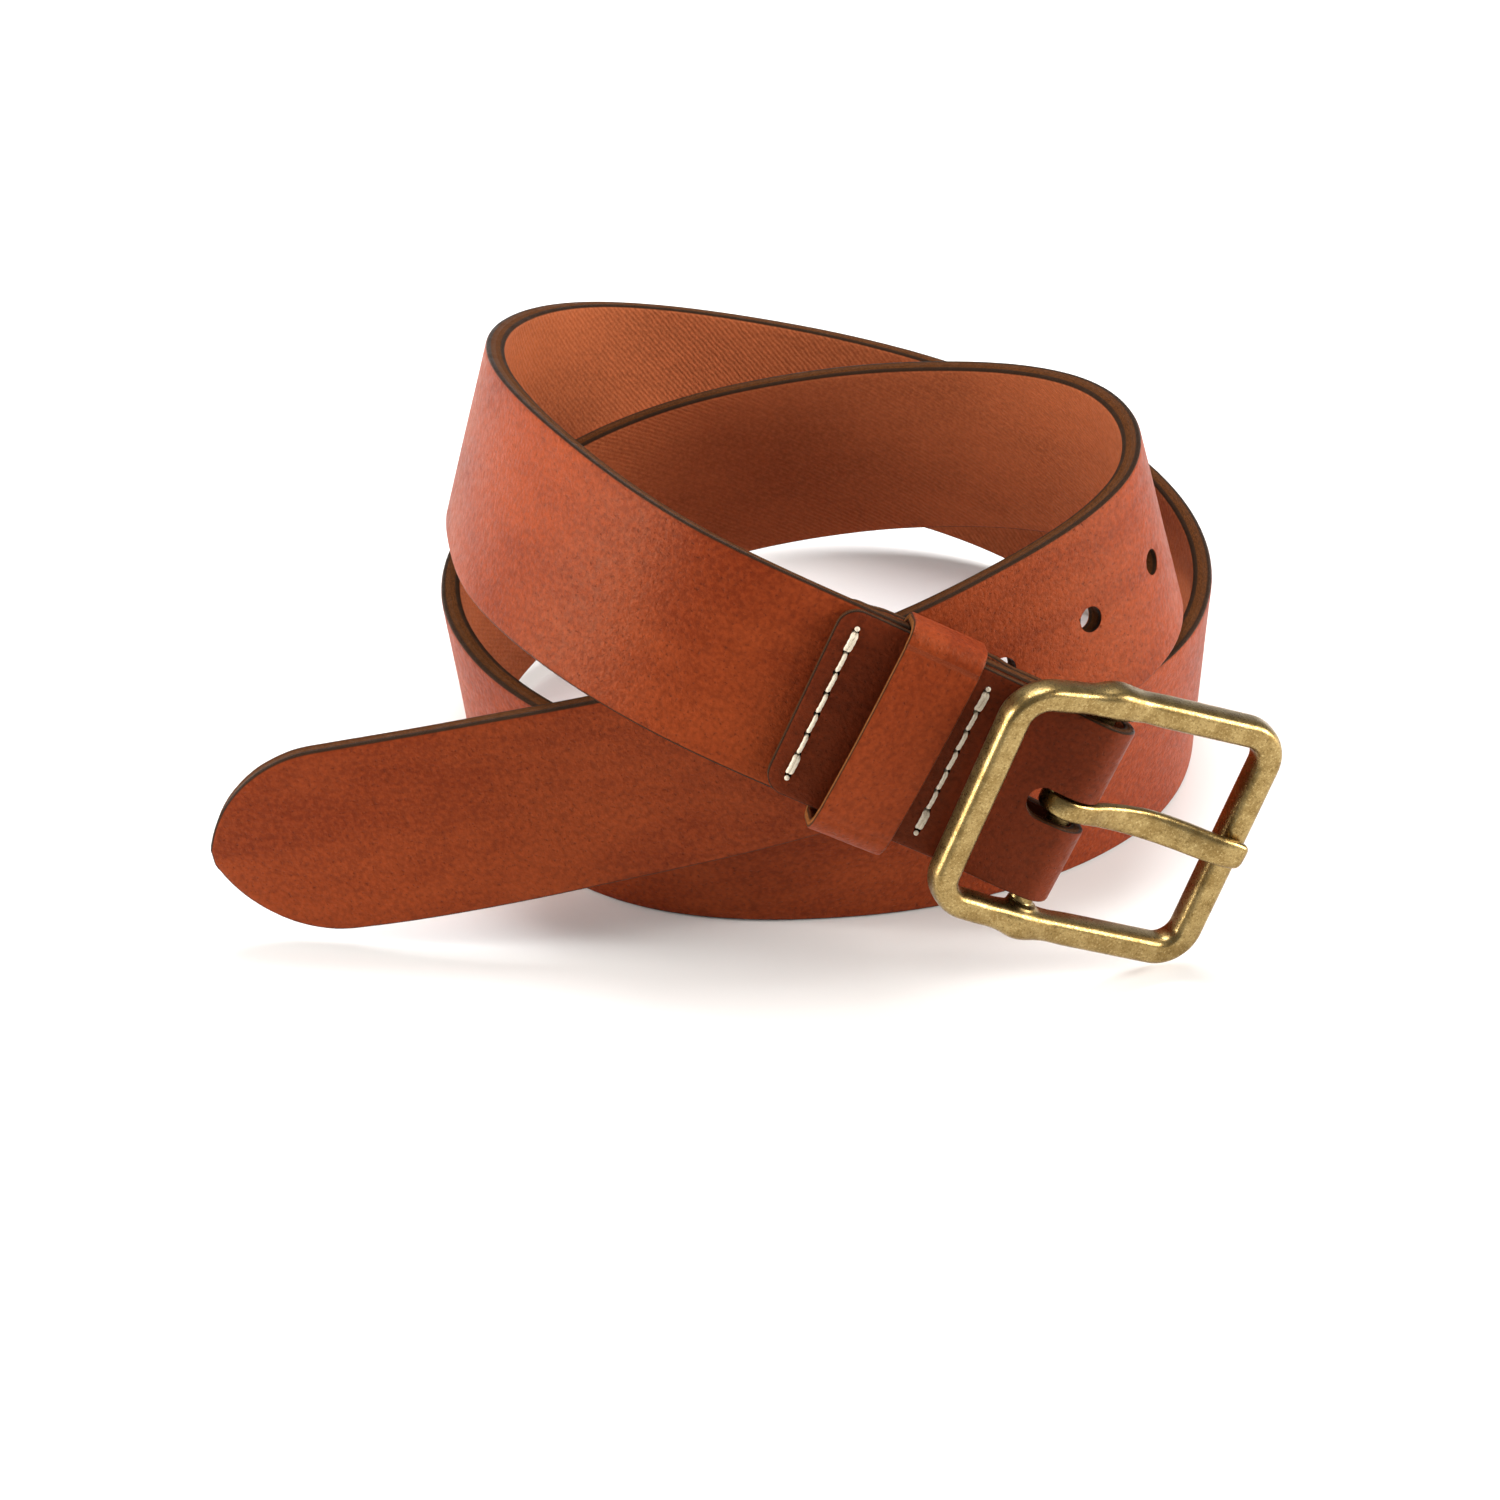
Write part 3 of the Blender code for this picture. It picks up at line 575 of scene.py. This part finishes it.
def make_thread(row, side):
    """One row of stitches seen on one face; the two end stitches are sewn twice."""
    back = ROW_FROM_BAR[row]
    level = TOP_LEVEL if side > 0 else -float(back_level(np.array(back)))
    face = level + CHAPE_THICK / 2
    points, faces = [], []
    for k in range(STITCH_COUNT):
        for turn in (-1, 1) if k in (0, STITCH_COUNT - 1) else (0,):
            add_rings(points, faces, stitch_rings(k, row, turn, face))
    for middle in (stitch_holes()[0] + 0.62, stitch_holes()[-1] - 0.62):
        add_rings(points, faces, knot_rings(middle, face))
    points = [(lay.total - back + w, v, side * n) for w, v, n in points]
    item = add_object(f"thread_row_{row + 1}_{'front' if side > 0 else 'back'}", lay.carry(points), faces)
    keep_flat(item, points)
    clean(item, 80.0)
    return item


# ---- brass ----

def askew(rows):
    """Taper and lift of the heel side, then the frame's small turn and roll on its bar."""
    t, v, h = np.asarray(rows, float).T
    past = np.maximum(HEEL_START - t, 0.0)
    past = past * smooth_step(past / 6.0)
    v = FRAME_ACROSS + (v - FRAME_ACROSS) * (1 - 2 * HEEL_TAPER * past / FRAME_TALL)
    h = h + HEEL_LIFT * past
    c, s = math.cos(FRAME_TURN), math.sin(FRAME_TURN)
    t, v = c * t - s * v, s * t + c * v
    return np.stack([t, v, h + math.tan(FRAME_ROLL) * v], -1)


def tube(name, rings, closed):
    """Mesh through rings of points, joined end to end or capped."""
    size = len(rings[0])
    points = [p for ring in rings for p in ring]
    faces = []
    count = len(rings)
    for i in range(count if closed else count - 1):
        for j in range(size):
            a, b = i * size + j, i * size + (j + 1) % size
            c, d = ((i + 1) % count) * size + (j + 1) % size, ((i + 1) % count) * size + j
            faces.append((a, b, c, d))
    if not closed:
        faces.append(tuple(range(size)))
        faces.append(tuple(range((count - 1) * size, count * size)))
    item = add_object(name, points, faces)
    clean(item)
    return item


def rail_path():
    """The rails' middle line with its outward direction: (t, v, out t, out v), about 1 mm apart."""
    radius = FRAME_CORNER - FRAME_RAIL / 2
    left, right = FRAME_LEFT + FRAME_CORNER, FRAME_RIGHT - FRAME_CORNER
    reach = FRAME_TALL / 2 - FRAME_CORNER
    corners = ((right, reach, 0), (left, reach, 90), (left, -reach, 180), (right, -reach, 270))
    path = []
    for t, v, start in corners:
        for k in range(19):
            a = math.radians(start + 5 * k)
            path.append((t + radius * math.cos(a), FRAME_ACROSS + v + radius * math.sin(a),
                         math.cos(a), math.sin(a)))
    full = []
    for a, b in zip(path, path[1:] + path[:1]):
        pieces = max(1, int(math.dist(a[:2], b[:2]) / 1.0))
        full += [tuple(np.array(a) + (np.array(b) - np.array(a)) * k / pieces) for k in range(pieces)]
    return full


def rail_rings():
    """The rail's domed section along its path, swollen where the bar meets the long rails."""
    section = [(FRAME_RAIL / 2 * math.copysign(abs(c) ** 0.5, c),
                FRAME_DEPTH / 2 * math.copysign(abs(s) ** (0.82 if s > 0 else 0.6), s))
               for c, s in circle(RAIL_SIDES)]
    rings = []
    for t, v, ct, cv in rail_path():
        ring = [[t + w * ct, v + w * cv, FRAME_RISE + h] for w, h in section]
        if abs(v - FRAME_ACROSS) > FRAME_TALL / 2 - FRAME_CORNER:
            swell = math.exp(-(t / 3.4) ** 2)
            dip = math.exp(-((abs(t) - 6.2) / 2.6) ** 2)
            middle = np.array([t, v, FRAME_RISE - 0.5])
            ring = [list(middle + (np.array(p) - middle) * (1 + 0.17 * swell - 0.05 * dip)) for p in ring]
        rings.append(ring)
    return rings


def post(name, start, stop, radius, height):
    """Round bar along v from start to stop, its middle at the given height."""
    return tube(name, [[(radius * c, v, height + radius * s) for c, s in circle(RAIL_SIDES)]
                       for v in np.linspace(start, stop, 14)], False)


def make_frame():
    """Cast rails with a domed face and flat side walls, bosses and the centre bar, run together."""
    item = tube("frame_brass", rail_rings(), True)
    reach = FRAME_TALL / 2 - FRAME_RAIL / 2
    extras = [post("bar", FRAME_ACROSS - reach, FRAME_ACROSS + reach, BAR_DIA / 2, 0.0)]
    for side in (1, -1):
        base = FRAME_ACROSS + side * reach
        extras.append(post("boss", base - side * FRAME_RAIL * 0.62, base + side * FRAME_RAIL * 0.2,
                           BOSS_RADIUS, BOSS_RISE))
    for extra in extras:
        step = item.modifiers.new("join", "BOOLEAN")
        step.operation = "UNION"
        step.solver = "EXACT"
        step.object = extra
    apply_modifiers(item)
    for extra in extras:
        bpy.data.objects.remove(extra)
    remesh = item.modifiers.new("remesh", "REMESH")
    remesh.mode = "VOXEL"
    remesh.voxel_size = CASTING_DETAIL
    soften = item.modifiers.new("soften", "SMOOTH")
    soften.factor = 0.5
    soften.iterations = 5
    apply_modifiers(item)
    clean(item, 60.0)
    rows = get_points(item)
    keep_flat(item, rows)
    set_points(item, plane.carry(askew(rows)))
    return item


def prong_line():
    """The prong's middle line: (t, h, width) from the end of its curl to its tip."""
    radius = BAR_DIA / 2 + GAP + PRONG_THICK / 2
    rest = RAIL_TOP + GAP + PRONG_THICK / 2
    line = []
    for deg in range(CURL_START_DEG, CURL_STOP_DEG, CURL_STEP_DEG):
        a = math.radians(deg)
        line.append((radius * math.cos(a), radius * math.sin(a), PRONG_NECK))
    line += [(3.5, radius - 0.5, PRONG_NECK), (7.0, radius - 1.6, PRONG_NECK + 0.6),
             (11.4, radius - 2.2, PRONG_WIDTH - 0.4), (16.0, radius - 2.3, PRONG_WIDTH + 0.1),
             (20.0, radius - 1.7, PRONG_WIDTH + 0.2), (24.2, rest - 2.9, PRONG_WIDTH + 0.2),
             (28.2, rest - 1.4, PRONG_WIDTH + 0.1), (32.0, rest - 0.2, PRONG_WIDTH),
             (34.4, rest, PRONG_WIDTH), (36.0, rest - 0.1, PRONG_WIDTH - 0.5),
             (PRONG_REACH, rest - 0.3, PRONG_WIDTH - 1.2)]
    return np.array(line)


def make_prong():
    """The tongue: a flat bar curled round the centre bar, dipping, then lying on the far rail."""
    line = prong_line()
    hops = np.concatenate([[0.0], np.cumsum(np.hypot(*np.diff(line[:, :2], axis=0).T))])
    tip = hops[-1] - PRONG_ROUNDING * np.cos(np.linspace(0, 1.5, 9))
    fine = np.concatenate([np.arange(0, hops[-1] - PRONG_ROUNDING, 0.5), tip])
    dense = np.stack([np.interp(fine, hops, line[:, k]) for k in range(3)], -1)
    for _ in range(5):
        dense[1:-1] = (dense[:-2] + 2 * dense[1:-1] + dense[2:]) / 4
    run = unit(np.gradient(dense[:, :2], axis=0))
    rings = []
    for (t, h, width), (rt, rh), gone in zip(dense, run, fine):
        end = min(1.0, (hops[-1] - gone) / PRONG_ROUNDING)
        close = math.sqrt(max(1 - (1 - end) ** 2, 0.03))
        start = math.sqrt(max(1 - (1 - min(1.0, (gone + 0.05) / 0.8)) ** 2, 0.1))
        ring = []
        for c, s in circle(PRONG_SIDES):
            v = width / 2 * (0.55 + 0.45 * close) * start * math.copysign(abs(c) ** 0.5, c)
            n = PRONG_THICK / 2 * close * start * math.copysign(abs(s) ** (0.75 if s > 0 else 0.55), s)
            ring.append((t - n * rh, PRONG_ACROSS + v + PRONG_DRIFT * max(t, 0.0), h + n * rt))
        rings.append(ring)
    item = tube("prong_brass", rings, False)
    rows = get_points(item)
    keep_flat(item, rows)
    set_points(item, plane.carry(rows))
    item.data.set_sharp_from_angle(angle=math.radians(70))
    return item


# ---- materials ----

class Nodes:
    """Short names for the node calls that the materials below share."""

    def __init__(self, name):
        self.material = bpy.data.materials.new(name)
        self.material.use_nodes = True
        self.tree = self.material.node_tree
        self.shader = self.tree.nodes["Principled BSDF"]

    def wire(self, value, socket):
        """Links another node's output, or sets a plain value."""
        if hasattr(value, "is_linked"):
            self.tree.links.new(value, socket)
        else:
            socket.default_value = value

    def maths(self, how, a, b=0.0, clamp=False):
        node = self.tree.nodes.new("ShaderNodeMath")
        node.operation = how
        node.use_clamp = clamp
        self.wire(a, node.inputs[0])
        self.wire(b, node.inputs[1])
        return node.outputs[0]

    def plus(self, a, b):
        return self.maths("ADD", a, b)

    def times(self, a, b):
        return self.maths("MULTIPLY", a, b)

    def ramp(self, value, low, high, a=0.0, b=1.0):
        """Smooth step from a to b as the value goes from low to high."""
        node = self.tree.nodes.new("ShaderNodeMapRange")
        node.interpolation_type = "SMOOTHSTEP"
        self.wire(value, node.inputs["Value"])
        for key, number in (("From Min", low), ("From Max", high), ("To Min", a), ("To Max", b)):
            node.inputs[key].default_value = number
        return node.outputs[0]

    def blend(self, factor, a, b):
        """Colour a where the factor is 0 and b where it is 1."""
        node = self.tree.nodes.new("ShaderNodeMix")
        node.data_type = "RGBA"
        self.wire(factor, node.inputs[0])
        self.wire((*a, 1.0) if isinstance(a, tuple) else a, node.inputs[6])
        self.wire((*b, 1.0) if isinstance(b, tuple) else b, node.inputs[7])
        return node.outputs[2]

    def flat(self):
        node = self.tree.nodes.new("ShaderNodeAttribute")
        node.attribute_name = "flat"
        return node.outputs["Vector"]

    def height_of(self, vector):
        """The third value of a flat place: how far it is off the leather's middle."""
        node = self.tree.nodes.new("ShaderNodeSeparateXYZ")
        self.tree.links.new(vector, node.inputs[0])
        return node.outputs["Z"]

    def scaled(self, vector, scale, turn=0.0):
        node = self.tree.nodes.new("ShaderNodeMapping")
        self.tree.links.new(vector, node.inputs[0])
        node.inputs["Scale"].default_value = scale
        node.inputs["Rotation"].default_value = (0.0, 0.0, turn)
        return node.outputs[0]

    def noise(self, vector, scale, detail=3.0, rough=0.55):
        node = self.tree.nodes.new("ShaderNodeTexNoise")
        self.tree.links.new(vector, node.inputs["Vector"])
        node.inputs["Scale"].default_value = scale
        node.inputs["Detail"].default_value = detail
        node.inputs["Roughness"].default_value = rough
        return node.outputs[0]

    def cells(self, vector, scale, feature="F1"):
        node = self.tree.nodes.new("ShaderNodeTexVoronoi")
        node.feature = feature
        self.tree.links.new(vector, node.inputs["Vector"])
        node.inputs["Scale"].default_value = scale
        return node.outputs["Distance"]

    def waves(self, vector, scale, distortion, detail_scale):
        node = self.tree.nodes.new("ShaderNodeTexWave")
        self.tree.links.new(vector, node.inputs["Vector"])
        node.inputs["Scale"].default_value = scale
        node.inputs["Distortion"].default_value = distortion
        node.inputs["Detail"].default_value = 2.0
        node.inputs["Detail Scale"].default_value = detail_scale
        return node.outputs["Color"]

    def bump(self, height, strength, distance):
        node = self.tree.nodes.new("ShaderNodeBump")
        node.inputs["Strength"].default_value = strength
        node.inputs["Distance"].default_value = distance
        self.tree.links.new(height, node.inputs["Height"])
        self.tree.links.new(node.outputs[0], self.shader.inputs["Normal"])


def shade(colour, factor):
    return tuple(factor * c for c in colour)


def leather(name, thick, rim, grain, grain_light, flesh, edge, core, gloss):
    """Vegetable-tanned leather: glazed pebbled grain, imprinted flesh side, burnished cut edges."""
    m = Nodes(name)
    flat = m.flat()
    n = m.height_of(flat)
    high = m.maths("ABSOLUTE", n)
    cut = m.ramp(high, thick / 2 - 0.06, thick / 2 - 0.22)
    core_mask = m.ramp(high, thick / 2 - rim, thick / 2 - rim - 0.35)
    back = m.ramp(n, 0.1, -0.1)
    plain = m.scaled(flat, (1.0, 1.0, 0.05))

    # grain side: slow clouds of colour, pebbles, dark pores and a fine mottle
    pebble = m.cells(plain, 1.25, "SMOOTH_F1")
    fine = m.noise(plain, 2.3, 4.0, 0.6)
    pores = m.ramp(m.noise(plain, 1.5, 2.0, 0.5), 0.60, 0.72)
    cloud = m.noise(m.scaled(flat, (0.6, 1.0, 0.1)), 0.035, 4.0, 0.55)
    patch = m.noise(m.scaled(flat, (0.35, 1.2, 0.1)), 0.16, 3.0, 0.5)
    mottle = m.ramp(m.noise(plain, 0.9, 3.0, 0.6), 0.40, 0.62)
    tone = m.plus(m.times(cloud, 0.7), m.times(patch, 0.3))
    face = m.blend(m.ramp(tone, 0.38, 0.64), grain, grain_light)
    face = m.blend(m.times(m.ramp(pebble, 0.15, 0.75), 0.34), face, shade(grain, 0.45))
    face = m.blend(m.times(pores, 0.55), face, shade(grain, 0.30))
    face = m.blend(m.times(mottle, 0.30), face, shade(grain_light, 1.35))

    # flesh side: matte nap with the faint slanting lines of its backing
    twill = m.waves(m.scaled(plain, (1.0, 1.0, 0.0), math.radians(52)), 0.36, 2.6, 1.2)
    nap = m.noise(plain, 1.1, 5.0, 0.7)
    rear = m.blend(m.ramp(nap, 0.36, 0.66), shade(flesh, 0.66), flesh)
    rear = m.blend(m.times(m.ramp(twill, 0.45, 0.0), 0.18), rear, shade(flesh, 0.45))
    rear = m.blend(m.times(m.ramp(tone, 0.36, 0.66), 0.35), rear, shade(flesh, 1.25))

    # cut edge: dark rims with a fibrous middle
    fibre = m.noise(m.scaled(flat, (1.0, 1.0, 2.6)), 2.6, 4.0, 0.7)
    rough_core = m.blend(m.ramp(fibre, 0.40, 0.62), shade(core, 0.45), core)
    colour = m.blend(cut, m.blend(back, face, rear), m.blend(core_mask, edge, rough_core))
    m.tree.links.new(colour, m.shader.inputs["Base Color"])

    grain_height = m.maths("SUBTRACT", m.times(fine, 0.55), m.times(pebble, 0.42))
    grain_height = m.maths("SUBTRACT", grain_height, m.times(pores, 0.25))
    rear_height = m.plus(m.times(nap, 0.9), m.times(twill, 0.35))
    height = m.plus(m.times(grain_height, m.maths("SUBTRACT", 1.0, back)), m.times(rear_height, back))
    height = m.plus(m.times(height, m.maths("SUBTRACT", 1.0, cut)), m.times(m.times(fibre, cut), 1.5))
    m.bump(height, 0.8, 0.00026)

    shine = m.ramp(m.noise(plain, 0.5, 3.0), 0.3, 0.7, gloss - 0.05, gloss + 0.07)
    shine = m.plus(shine, m.times(back, 0.26))
    shine = m.maths("ADD", shine, m.times(m.times(cut, core_mask), 0.22), clamp=True)
    m.tree.links.new(shine, m.shader.inputs["Roughness"])
    m.shader.inputs["IOR"].default_value = 1.40
    m.shader.inputs["Specular IOR Level"].default_value = 0.26
    m.shader.inputs["Specular Tint"].default_value = (1.0, 0.60, 0.35, 1.0)
    return m.material


def brass(name):
    """Antique brass: a brown patina in the pits, rubbed brighter in fine specks."""
    m = Nodes(name)
    flat = m.flat()
    blotch = m.noise(flat, 0.32, 4.0, 0.6)
    speck = m.noise(flat, 1.9, 5.0, 0.72)
    pits = m.cells(flat, 1.6)
    warm = m.blend(m.ramp(blotch, 0.35, 0.66), (0.23, 0.150, 0.052), (0.33, 0.232, 0.092))
    warm = m.blend(m.times(m.ramp(speck, 0.54, 0.68), 0.6), warm, (0.52, 0.40, 0.19))
    warm = m.blend(m.times(m.ramp(speck, 0.46, 0.34), 0.70), warm, (0.10, 0.060, 0.020))
    m.tree.links.new(warm, m.shader.inputs["Base Color"])
    m.shader.inputs["Metallic"].default_value = 1.0
    m.tree.links.new(m.ramp(speck, 0.35, 0.65, 0.40, 0.24), m.shader.inputs["Roughness"])
    m.bump(m.plus(m.times(speck, 0.7), m.times(pits, 0.25)), 0.35, 0.00012)
    return m.material


def cotton(name):
    """Waxed ecru thread with a fine fibre."""
    m = Nodes(name)
    flat = m.flat()
    fibre = m.noise(m.scaled(flat, (5.0, 1.2, 5.0), 0.5), 2.4, 4.0, 0.7)
    colour = m.blend(m.ramp(fibre, 0.35, 0.65), (0.56, 0.46, 0.32), (0.80, 0.73, 0.60))
    m.tree.links.new(colour, m.shader.inputs["Base Color"])
    m.shader.inputs["Roughness"].default_value = 0.62
    m.shader.inputs["Sheen Weight"].default_value = 0.15
    m.bump(fibre, 0.5, 0.0001)
    return m.material


# ---- assembly ----

def place(item, body, node, slot, look):
    """Gives a piece its material and its body, and hides the CAD node it stands for; the slot is not
    used.
    """
    item.data.materials.clear()
    item.data.materials.append(look)
    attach(item, body)
    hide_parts(node)


# Arguments after the size: grain, light grain, flesh, edge rim and edge middle colours, roughness.
strap_look = leather("strap_look", STRAP_THICK, STRAP_BEVEL,
                     (0.165, 0.0215, 0.0048), (0.245, 0.0400, 0.0095), (0.370, 0.098, 0.036),
                     (0.018, 0.008, 0.004), (0.11, 0.036, 0.010), 0.47)
# The chape's grain, light grain and flesh colours are the strap's darkened to about half: painted shade
# beside the buckle on the same leather.
chape_shaded_look = leather("chape_shaded_look", CHAPE_THICK, CHAPE_BEVEL,
                     (0.090, 0.0115, 0.003), (0.122, 0.0180, 0.0048), (0.20, 0.045, 0.015),
                     (0.014, 0.007, 0.004), (0.10, 0.036, 0.012), 0.46)
# The keeper's flesh colour is the chape's, the strap's flesh darkened to about half: painted shade.
keeper_look = leather("keeper_look", KEEPER_THICK, 0.35,
                      (0.160, 0.0205, 0.0045), (0.225, 0.0350, 0.0080), (0.20, 0.045, 0.015),
                      (0.045, 0.016, 0.006), (0.28, 0.095, 0.024), 0.43)
frame_look = brass("frame_look")
thread_look = cotton("thread_look")

place(make_strap(), "belt", "strap", "strap_leather", strap_look)
place(make_chape(), "belt", "chape", "chape_leather", chape_shaded_look)
place(make_keeper(), "belt", "keeper", "chape_leather", keeper_look)
place(make_frame(), "buckle", "buckle_frame", "antique_brass", frame_look)
place(make_prong(), "pin", "prong", "antique_brass", frame_look)
for row in (0, 1):
    for side, tag in ((1, "front"), (-1, "back")):
        place(make_thread(row, side), "belt", f"stitch_row_{row + 1}_{tag}", "thread", thread_look)


# ---- floor, light and camera ----

def make_floor():
    """Plain pale floor, 6 m across."""
    floor = add_object("floor", [(-3, -3, 0), (3, -3, 0), (3, 3, 0), (-3, 3, 0)], [(0, 1, 2, 3)])
    m = Nodes("floor_look")
    m.shader.inputs["Base Color"].default_value = (0.93, 0.93, 0.93, 1.0)
    m.shader.inputs["Roughness"].default_value = 0.9
    m.shader.inputs["Specular IOR Level"].default_value = 0.1
    floor.data.materials.append(m.material)


def softbox(name, place_m, aim_m, size, power, colour=(1.0, 1.0, 1.0)):
    """Rectangular lamp, in metres and watts, turned toward its aim."""
    data = bpy.data.lights.new(name, "AREA")
    data.shape = "RECTANGLE"
    data.size, data.size_y = size
    data.energy = power
    data.color = colour
    lamp = bpy.data.objects.new(name, data)
    bpy.context.scene.collection.objects.link(lamp)
    lamp.location = place_m
    lamp.rotation_euler = (Vector(aim_m) - Vector(place_m)).to_track_quat("-Z", "Y").to_euler()


def make_light():
    """A large lamp over and behind the belt, one at each side, and a white surround."""
    world = bpy.data.worlds.new("studio")
    bpy.context.scene.world = world
    world.use_nodes = True
    back = world.node_tree.nodes["Background"]
    back.inputs["Color"].default_value = (1.0, 1.0, 1.0, 1.0)
    back.inputs["Strength"].default_value = 0.30
    softbox("top", (0.0, 0.45, 1.1), (0.0, 0.02, 0.03), (0.7, 0.5), 12.5)
    warm = (1.0, 0.97, 0.92)
    softbox("left", (-1.0, -0.16, 0.40), (0.0, 0.0, 0.04), (0.45, 0.6), 16.5, warm)
    softbox("right", (1.0, -0.20, 0.38), (0.05, 0.0, 0.04), (0.45, 0.6), 16.5, warm)
    bpy.context.scene.view_settings.view_transform = "Standard"


def make_camera():
    """Looks down on the belt from its front."""
    down = math.radians(CAMERA_DOWN_DEG)
    aim = (np.array(AIM) + lay.shift) * MM
    data = bpy.data.cameras.new("camera")
    data.lens = LENS_RATIO * data.sensor_width
    data.clip_start = 0.05
    camera = bpy.data.objects.new("camera", data)
    bpy.context.scene.collection.objects.link(camera)
    camera.location = Vector(aim) + CAMERA_AWAY * MM * Vector((0.0, -math.cos(down), math.sin(down)))
    camera.rotation_euler = (math.pi / 2 - down, 0.0, 0.0)
    bpy.context.scene.camera = camera


make_floor()
make_light()
make_camera()
